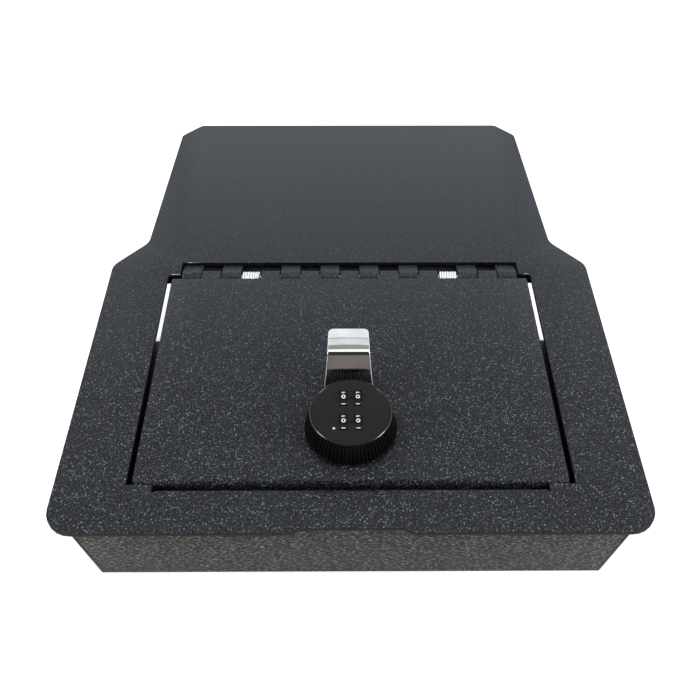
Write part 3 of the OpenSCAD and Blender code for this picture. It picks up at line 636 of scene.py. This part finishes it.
rib = newObject("rib", meshOf("rib", ribShape))
knobShell = grown("knobShell", ringTree, {
    "Part": rib, "Core": shellCore, "Count": knob["ribs"], "Turn": 2 * math.pi / knob["ribs"],
    "Centre": tuple(knobCentre), "Material": knobShellBlack})
drop(rib, shellCore)
smoothByAngle(knobShell.data, 40)
paint(knobShell, knobShellBlack)
knobShell.data.materials.append(knobBandBlack)
knobShell.data.materials.append(knobFaceBlack)
for polygon in knobShell.data.polygons:
    # glossy bevel, and a top that is as dull as the face
    inBand = polygon.center.z > (knob["bevelZ"] - 0.1) * mm
    polygon.material_index = (2 if polygon.normal.z > 0.95 else 1) if inBand else 0
handOver(knobShell, "knob", "knob_black", "knob_shell")
print("knob shell ribbed")


# Number dials
dial = {"radius": 6.7, "width": 3.5, "gap": 7.7, "rows": (-7.3, 8.7), "axisZ": 65.9, "bore": 1.57,
        "notch": 0.35, "ease": 0.12, "rim": 0.12, "numeralLong": 1.7, "numeralWide": 2.35, "stroke": 0.5,
        "raise": 0.06, "sunk": 0.1}


def arcPoints(cx, cy, rx, ry, start, end, count=10):
    return [(cx + rx * math.cos(math.radians(start + (end - start) * i / count)),
             cy + ry * math.sin(math.radians(start + (end - start) * i / count))) for i in range(count + 1)]


# Single line numerals in a unit square, x to the right and y up
numerals = [
    [arcPoints(0.5, 0.5, 0.42, 0.5, 90, 450, 24)],
    [[(0.5, 0.0), (0.5, 0.25), (0.5, 0.5), (0.5, 0.75), (0.5, 1.0)]],
    [arcPoints(0.5, 0.72, 0.42, 0.28, 170, -35) + [(0.1, 0.0), (0.5, 0.0), (0.92, 0.0)]],
    [arcPoints(0.46, 0.75, 0.38, 0.25, 160, -90) + arcPoints(0.46, 0.26, 0.42, 0.26, 90, -160)],
    [[(0.72, 0.0), (0.72, 0.5), (0.72, 1.0), (0.4, 0.62), (0.08, 0.28), (0.5, 0.28), (0.95, 0.28)]],
    [[(0.88, 1.0), (0.5, 1.0), (0.16, 1.0), (0.13, 0.57)] + arcPoints(0.46, 0.32, 0.42, 0.32, 120, -150)],
    [arcPoints(0.5, 0.31, 0.42, 0.31, 180, -180, 16) + [(0.12, 0.45), (0.3, 0.78), (0.62, 1.0)]],
    [[(0.08, 1.0), (0.5, 1.0), (0.9, 1.0), (0.62, 0.5), (0.4, 0.0)]],
    [arcPoints(0.5, 0.76, 0.34, 0.24, -90, 270, 16), arcPoints(0.5, 0.27, 0.42, 0.27, 90, 450, 18)],
    [arcPoints(0.5, 0.69, 0.42, 0.31, 0, 360, 16) + [(0.88, 0.55), (0.7, 0.22), (0.38, 0.0)]],
]


def dialPiece(name, side, row):
    centre = Vector((side * dial["gap"] / 2, knobPlace["y"] + dial["rows"][row], dial["axisZ"]))
    half = dial["width"] / 2

    # The wheel: ten faces with a notch between each, and a bore for its shaft
    def wheel(work):
        outline = []
        for i in range(10):
            # how far in, and where in half faces
            for inward, share in (
                    (0.0, -0.72), (0.0, -0.4), (0.0, 0.0), (0.0, 0.4), (0.0, 0.72), (dial["ease"], 0.83),
                    (dial["notch"], 0.93), (dial["notch"], 1.07), (dial["ease"], 1.17)):
                outline.append((dial["radius"] - inward, math.radians(36 * i + 18 * share)))
        rows = []
        for x, inward in ((-half, None), (-half, dial["rim"]), (-half + dial["rim"], 0.0),
                          (half - dial["rim"], 0.0), (half, dial["rim"]), (half, None)):
            ring = []
            for radius, turn in outline:
                r = dial["bore"] if inward is None else radius - inward
                onRing = Vector((x, -r * math.sin(turn), r * math.cos(turn)))
                ring.append(work.verts.new((centre + onRing) * mm))
            rows.append(ring)
        for j in range(len(rows)):
            near, far = rows[j], rows[(j + 1) % len(rows)]
            for i in range(len(outline)):
                k = (i + 1) % len(outline)
                work.faces.new((near[i], near[k], far[k], far[i]))

    body = newObject(name + "Body", meshOf(name, wheel))
    paint(body, dialBlack)
    # Numerals lie along the shaft, read with the knob a quarter turn round, and follow the curve
    marks = []
    for digit, strokes in enumerate(numerals):
        for stroke in strokes:
            marks.append([((p[1] - 0.5) * dial["numeralLong"], (p[0] - 0.5) * dial["numeralWide"], digit)
                          for p in stroke])

    def ribbons(work):
        w = dial["stroke"] / 2
        lift = dial["radius"] + dial["raise"]

        def onWheel(length, across, digit, up):
            turn = math.radians(36 * digit) - across / dial["radius"]
            r = lift if up else dial["radius"] - dial["sunk"]
            onRing = Vector((-length, -r * math.sin(turn), r * math.cos(turn)))
            return work.verts.new((centre + onRing) * mm)

        for mark in marks:
            flat = [Vector((m[0], m[1])) for m in mark]
            closed = (flat[0] - flat[-1]).length < 1e-6
            if closed:
                flat = flat[:-1]
            count = len(flat)
            ways = []
            for i in range(count):
                before = flat[i - 1] if i > 0 or closed else flat[i]
                after = flat[(i + 1) % count] if i < count - 1 or closed else flat[i]
                ways.append((after - before).normalized())
            if not closed:
                flat = [flat[0] - ways[0] * w * 0.8] + flat[1:-1] + [flat[-1] + ways[-1] * w * 0.8]
            rows = []
            for p, way in zip(flat, ways):
                out = Vector((-way.y, way.x)) * w
                rows.append([onWheel(*(p + out), mark[0][2], False), onWheel(*(p + out), mark[0][2], True),
                             onWheel(*(p - out), mark[0][2], True), onWheel(*(p - out), mark[0][2], False)])
            for i in range(count if closed else count - 1):
                near, far = rows[i], rows[(i + 1) % count]
                for k in range(4):
                    n = (k + 1) % 4
                    work.faces.new((near[k], near[n], far[n], far[k]))
            if not closed:
                work.faces.new(rows[0][::-1])
                work.faces.new(rows[-1])

    figures = newObject(name + "Figures", meshOf(name + "Figures", ribbons))
    paint(figures, numeralPaint)
    smoothByAngle(body.data, 30)
    body.name = name
    figures.name = name + "Numerals"
    return body, figures


for nodeName, side, row in (("front_left_dial", -1, 0), ("front_right_dial", 1, 0),
                            ("rear_left_dial", -1, 1), ("rear_right_dial", 1, 1)):
    words = nodeName.split("_")
    body, figures = dialPiece(words[0] + words[1].title() + "Dial", side, row)
    handOver(body, nodeName, "dial_black", nodeName)
    handOver(figures, nodeName, "dial_black")
print("dials numbered")


# Finger pull, bent from a flat blank
pull = {"thick": 1.5, "height": 21.5, "gap": 1.8, "waist": 12.0, "lean": 75.0, "upperLean": 56.0,
        "lip": 16.0, "tilt": 3.0, "heelBend": 3.0, "waistBend": 50.0, "crownBend": 3.0, "shift": 1.0,
        "foot": 27.8, "bendWide": 23.5, "tipWide": 22.6, "corner": 3.0, "disc": 14.5,
        "holeR": 9.55, "holeFlat": 8.55, "edge": 0.4, "cut": 0.5, "bendCut": 0.12, "lipCrown": 0.5,
        "lipStart": 2.0, "discSteps": 40, "holeSteps": 12}


def pullPath():
    # Lines and arcs along the strip's underside, from the knob's axis to the tip
    angles = [0.0] + [math.radians(pull[key]) for key in ("lean", "upperLean", "tilt")]
    heel = knob["footR"] + pull["gap"]
    spans = [heel, pull["waist"] / math.sin(angles[1]),
             (pull["height"] - pull["waist"]) / math.sin(angles[2]), pull["lip"]]
    bends = [pull["heelBend"], -pull["waistBend"], -pull["crownBend"]]
    # the crowned lip starts steeper than its chord, so the last bend stops there
    lipSlope = math.atan(4 * pull["lipCrown"] / (pull["lip"] - pull["lipStart"]))
    ends = [angles[1], angles[2], angles[3] + lipSlope]
    cuts = [abs(r) * math.tan(abs(ends[i] - angles[i]) / 2) for i, r in enumerate(bends)]
    pieces = []
    for i, span in enumerate(spans):
        before = cuts[i - 1] if i > 0 else 0.0
        after = cuts[i] if i < len(cuts) else 0.0
        pieces.append(("line", None, angles[i], span - before - after))
        if i < len(bends):
            pieces.append(("arc", bends[i], angles[i], ends[i]))
    return pieces


def bendPoint(along, pieces, lift):
    at = Vector((knobPlace["y"], plate["top"]))
    angle = 0.0
    left = along
    for index, piece in enumerate(pieces):
        last = index == len(pieces) - 1
        if piece[0] == "line":
            step = left if last or left < piece[3] else piece[3]
            way = Vector((math.cos(piece[2]), math.sin(piece[2])))
            at = at + way * step
            angle = piece[2]
            left -= step
            if last:
                # the lip is slightly crowned along its length
                share = max(0.0, min(1.0, step / piece[3]))
                up = 4 * pull["lipCrown"] * share * (1 - share)
                slope = 4 * pull["lipCrown"] * (1 - 2 * share) / piece[3]
                at = at + Vector((-way.y, way.x)) * up
                angle += math.atan(slope)
                left = 0.0
        else:
            radius, start, end = piece[1], piece[2], piece[3]
            full = abs(end - start) * abs(radius)
            step = min(left, full)
            turn = step / abs(radius) * (1 if radius > 0 else -1)
            centre = at + Vector((-math.sin(start), math.cos(start))) * radius
            at = centre - Vector((-math.sin(start + turn), math.cos(start + turn))) * radius
            angle = start + turn
            left -= step
        if left <= 1e-9 and not last:
            break
    normal = Vector((-math.sin(angle), math.cos(angle)))
    return at + normal * lift


def roundedCorner(before, at, after, radius, count=6):
    into, out = (before - at).normalized(), (after - at).normalized()
    half = into.angle(out) / 2
    centre = at + (into + out).normalized() * radius / math.sin(half)
    first = at + into * radius / math.tan(half)
    last = at + out * radius / math.tan(half)
    points = []
    a0 = math.atan2(first.y - centre.y, first.x - centre.x)
    a1 = math.atan2(last.y - centre.y, last.x - centre.x)
    turn = (a1 - a0 + math.pi) % (2 * math.pi) - math.pi
    for i in range(count + 1):
        angle = a0 + turn * i / count
        points.append(centre + Vector((math.cos(angle), math.sin(angle))) * radius)
    return points


def makePull():
    pieces = pullPath()
    lengths = [p[3] if p[0] == "line" else abs(p[3] - p[2]) * abs(p[1]) for p in pieces]
    total = sum(lengths)
    heelAt = lengths[0] + lengths[1] / 2
    crownAt = sum(lengths[:5]) + lengths[5] / 2
    shift = Vector((-pull["shift"], 0.0))
    # blank outline, anticlockwise, in (across, along)
    leftAngle = math.asin(min(1.0, (pull["foot"] / 2 + pull["shift"]) / pull["disc"] * 0.9995))
    rightAngle = math.asin((pull["foot"] / 2 - pull["shift"]) / pull["disc"])
    disc = []
    fromAngle = math.pi / 2 + leftAngle
    toAngle = math.pi / 2 - rightAngle + 2 * math.pi
    for i in range(pull["discSteps"] + 1):
        angle = fromAngle + (toAngle - fromAngle) * i / pull["discSteps"]
        disc.append(Vector((pull["disc"] * math.cos(angle), pull["disc"] * math.sin(angle))))
    side = [Vector((pull["foot"] / 2, heelAt)), Vector((pull["bendWide"] / 2, crownAt))]
    tipRight = Vector((pull["tipWide"] / 2, total))
    tipLeft = Vector((-pull["tipWide"] / 2, total))
    strip = side + roundedCorner(side[1], tipRight, tipLeft, pull["corner"])
    strip += roundedCorner(tipRight, tipLeft, Vector((-side[1].x, side[1].y)), pull["corner"])
    strip += [Vector((-side[1].x, side[1].y)), Vector((-side[0].x, side[0].y))]
    outline = disc + [p + shift for p in strip]
    flatAngle = math.acos(pull["holeFlat"] / pull["holeR"])
    hole = []
    for middle in (math.pi / 2, 3 * math.pi / 2):
        spread = math.pi / 2 - flatAngle
        for i in range(pull["holeSteps"] + 1):
            angle = middle - spread + 2 * spread * i / pull["holeSteps"]
            hole.append(Vector((pull["holeR"] * math.cos(angle), pull["holeR"] * math.sin(angle))))

    def build(work):
        loops = []
        for loop in (outline, hole):
            verts = [work.verts.new((p.x, p.y, 0.0)) for p in loop]
            loops += [work.edges.new((verts[i], verts[(i + 1) % len(verts)])) for i in range(len(verts))]
        bmesh.ops.triangle_fill(work, use_beauty=True, edges=loops)
        bmesh.ops.dissolve_limit(work, angle_limit=0.01, verts=work.verts, edges=work.edges)
        made = bmesh.ops.extrude_face_region(work, geom=work.faces[:])
        top = [v for v in made["geom"] if isinstance(v, bmesh.types.BMVert)]
        bmesh.ops.translate(work, verts=top, vec=(0, 0, pull["thick"]))
        bmesh.ops.recalc_face_normals(work, faces=work.faces)
        sharp = [e for e in work.edges if e.is_manifold and e.calc_face_angle(0.0) > math.radians(60)]
        bmesh.ops.bevel(work, geom=sharp, offset=pull["edge"], segments=3, profile=0.5, affect="EDGES",
                        clamp_overlap=True)
        station = lengths[0] - 1.0
        while station < total:
            bmesh.ops.bisect_plane(work, geom=work.verts[:] + work.edges[:] + work.faces[:], dist=1e-5,
                                   plane_co=(0, station, 0), plane_no=(0, 1, 0))
            inBend = any(sum(lengths[:k]) - 0.5 < station < sum(lengths[:k + 1]) + 0.5 for k in (1, 5))
            station += pull["bendCut"] if inBend else pull["cut"]
        for vert in work.verts:
            across, along, lift = vert.co
            if along > lengths[0] - 1.5:
                y, z = bendPoint(along, pieces, lift)
            else:
                y, z = knobPlace["y"] + along, plate["top"] + lift
            vert.co = Vector((across, y, z)) * mm
        bmesh.ops.triangulate(work, faces=[f for f in work.faces if len(f.verts) > 4])

    piece = newObject("fingerPull", meshOf("fingerPull", build))
    smoothByAngle(piece.data, 50)
    paint(piece, chromePlate)
    piece.data.materials.append(pullEdgeHighlight)
    # the side edges take the near-white finish, a painted highlight on the chrome
    for polygon in piece.data.polygons:
        polygon.material_index = 1 if abs(polygon.normal.x) > 0.55 else 0
    handOver(piece, "door", "chrome", "finger_pull")


makePull()
print("finger pull bent")


# Camera, lights and floor
view = {"focal": 829.1, "frame": 700.0, "pitch": 48.288, "yaw": 0.453, "roll": -0.202,
        "place": (-2.64, -383.02, 421.15)}
camera = bpy.data.cameras.new("camera")
camera.sensor_width = 36.0
camera.lens = view["focal"] / view["frame"] * camera.sensor_width
camera.clip_start = 0.01
cameraObject = bpy.data.objects.new("camera", camera)
bpy.context.scene.collection.objects.link(cameraObject)
cameraObject.matrix_world = (
    Matrix.Translation(Vector(view["place"]) * mm)
    @ Matrix.Rotation(-math.radians(view["yaw"]), 4, "Z")
    @ Matrix.Rotation(math.radians(90 - view["pitch"]), 4, "X")
    @ Matrix.Rotation(-math.radians(view["roll"]), 4, "Z"))
bpy.context.scene.camera = cameraObject

aimPoint = Vector((0, -0.05, 0.05))
lamps = {
    "overhead": {"place": (0.0, -0.1, 1.6), "size": (1.4, 0.5), "power": 4.0},
    "leftBox": {"place": (-1.3, -0.42, 0.78), "size": (0.5, 0.5), "power": 9.0},
    "rightBox": {"place": (1.3, -0.42, 0.78), "size": (0.5, 0.5), "power": 13.0},
}
for name, lamp in lamps.items():
    light = bpy.data.lights.new(name, "AREA")
    light.shape = "RECTANGLE"
    light.size, light.size_y = lamp["size"]
    light.energy = lamp["power"]
    lightObject = bpy.data.objects.new(name, light)
    bpy.context.scene.collection.objects.link(lightObject)
    lightObject.location = lamp["place"]
    aim = aimPoint - Vector(lamp["place"])
    lightObject.rotation_euler = aim.to_track_quat("-Z", "Y").to_euler()

# The room, by degrees from the rear horizon over the top to the front one: a pale backdrop with a grey seam and
# a green-grey strip, a white ceiling, dark towards the camera, and brown-grey at the front horizon
room = [
    (0, (1.05, 1.05, 1.05)), (51.7, (1.1, 1.1, 1.1)),
    (52.3, (0.42, 0.42, 0.42)), (53.0, (0.42, 0.42, 0.42)),
    (53.6, (0.9, 0.94, 0.955)), (62.2, (0.9, 0.94, 0.955)),
    (63.0, (0.335, 0.405, 0.325)), (69.2, (0.335, 0.405, 0.325)),
    (71.0, (0.97, 0.97, 0.97)), (103, (0.9, 0.9, 0.9)),
    (110, (0.05, 0.055, 0.055)), (155.5, (0.03, 0.035, 0.035)),
    (158.5, (0.215, 0.181, 0.176)), (180, (0.215, 0.18, 0.175)),
]
room = [(degrees / 180, colour) for degrees, colour in room]
sideWalls = (0.9, 0.9, 0.9, 1.0)
world = bpy.data.worlds.new("room")
bpy.context.scene.world = world
world.use_nodes = True
tree = world.node_tree
tree.nodes.clear()
way = addNode(tree, "ShaderNodeSeparateXYZ", {
    "Vector": addNode(tree, "ShaderNodeTexCoord").outputs["Generated"]})
angle = maths(tree, "ARCTAN2", way.outputs["Z"], way.outputs["Y"])
share = maths(tree, "DIVIDE", angle, math.pi)
bands = ramp(tree, share, room)
side = remap(tree, maths(tree, "ABSOLUTE", way.outputs["X"], 0.0), 0.8, 0.9, 0.0, 1.0)
sky = blendColours(tree, side, bands, sideWalls)
lit = addNode(tree, "ShaderNodeBackground", {"Color": sky, "Strength": 1.0}).outputs["Background"]
plain = addNode(tree, "ShaderNodeBackground", {"Color": white, "Strength": 1.0}).outputs["Background"]
isCamera = addNode(tree, "ShaderNodeLightPath").outputs["Is Camera Ray"]
both = addNode(tree, "ShaderNodeMixShader", {0: isCamera, 1: lit, 2: plain}).outputs[0]
addNode(tree, "ShaderNodeOutputWorld", {"Surface": both})

floor = {"left": -3.0, "right": 3.0, "front": -0.9, "back": 3.5, "height": -0.0004,
         "colour": (0.82, 0.82, 0.82, 1.0), "glow": 0.58}


def floorShape(work):
    corners = [(floor["left"], floor["front"]), (floor["right"], floor["front"]),
               (floor["right"], floor["back"]), (floor["left"], floor["back"])]
    work.faces.new([work.verts.new((x, y, floor["height"])) for x, y in corners])


floorPiece = newObject("floor", meshOf("floor", floorShape))
floorMaterial = bpy.data.materials.new("floorPaper")
floorMaterial.use_nodes = True
tree = floorMaterial.node_tree
tree.nodes.clear()
paper = addNode(tree, "ShaderNodeBsdfDiffuse", {"Color": floor["colour"]}).outputs[0]
glow = addNode(tree, "ShaderNodeEmission", {"Color": white, "Strength": floor["glow"]}).outputs[0]
added = addNode(tree, "ShaderNodeAddShader", {0: paper, 1: glow}).outputs[0]
rays = addNode(tree, "ShaderNodeLightPath").outputs
seen = maths(tree, "MAXIMUM", rays["Is Camera Ray"], maths(tree, "MAXIMUM", rays["Is Glossy Ray"],
                                                         rays["Is Transmission Ray"]))
mixed = addNode(tree, "ShaderNodeMixShader", {0: seen, 1: paper, 2: added}).outputs[0]
addNode(tree, "ShaderNodeOutputMaterial", {"Surface": mixed})
paint(floorPiece, floorMaterial)
bpy.context.scene.view_settings.view_transform = "Standard"
print("camera, lights and floor set")
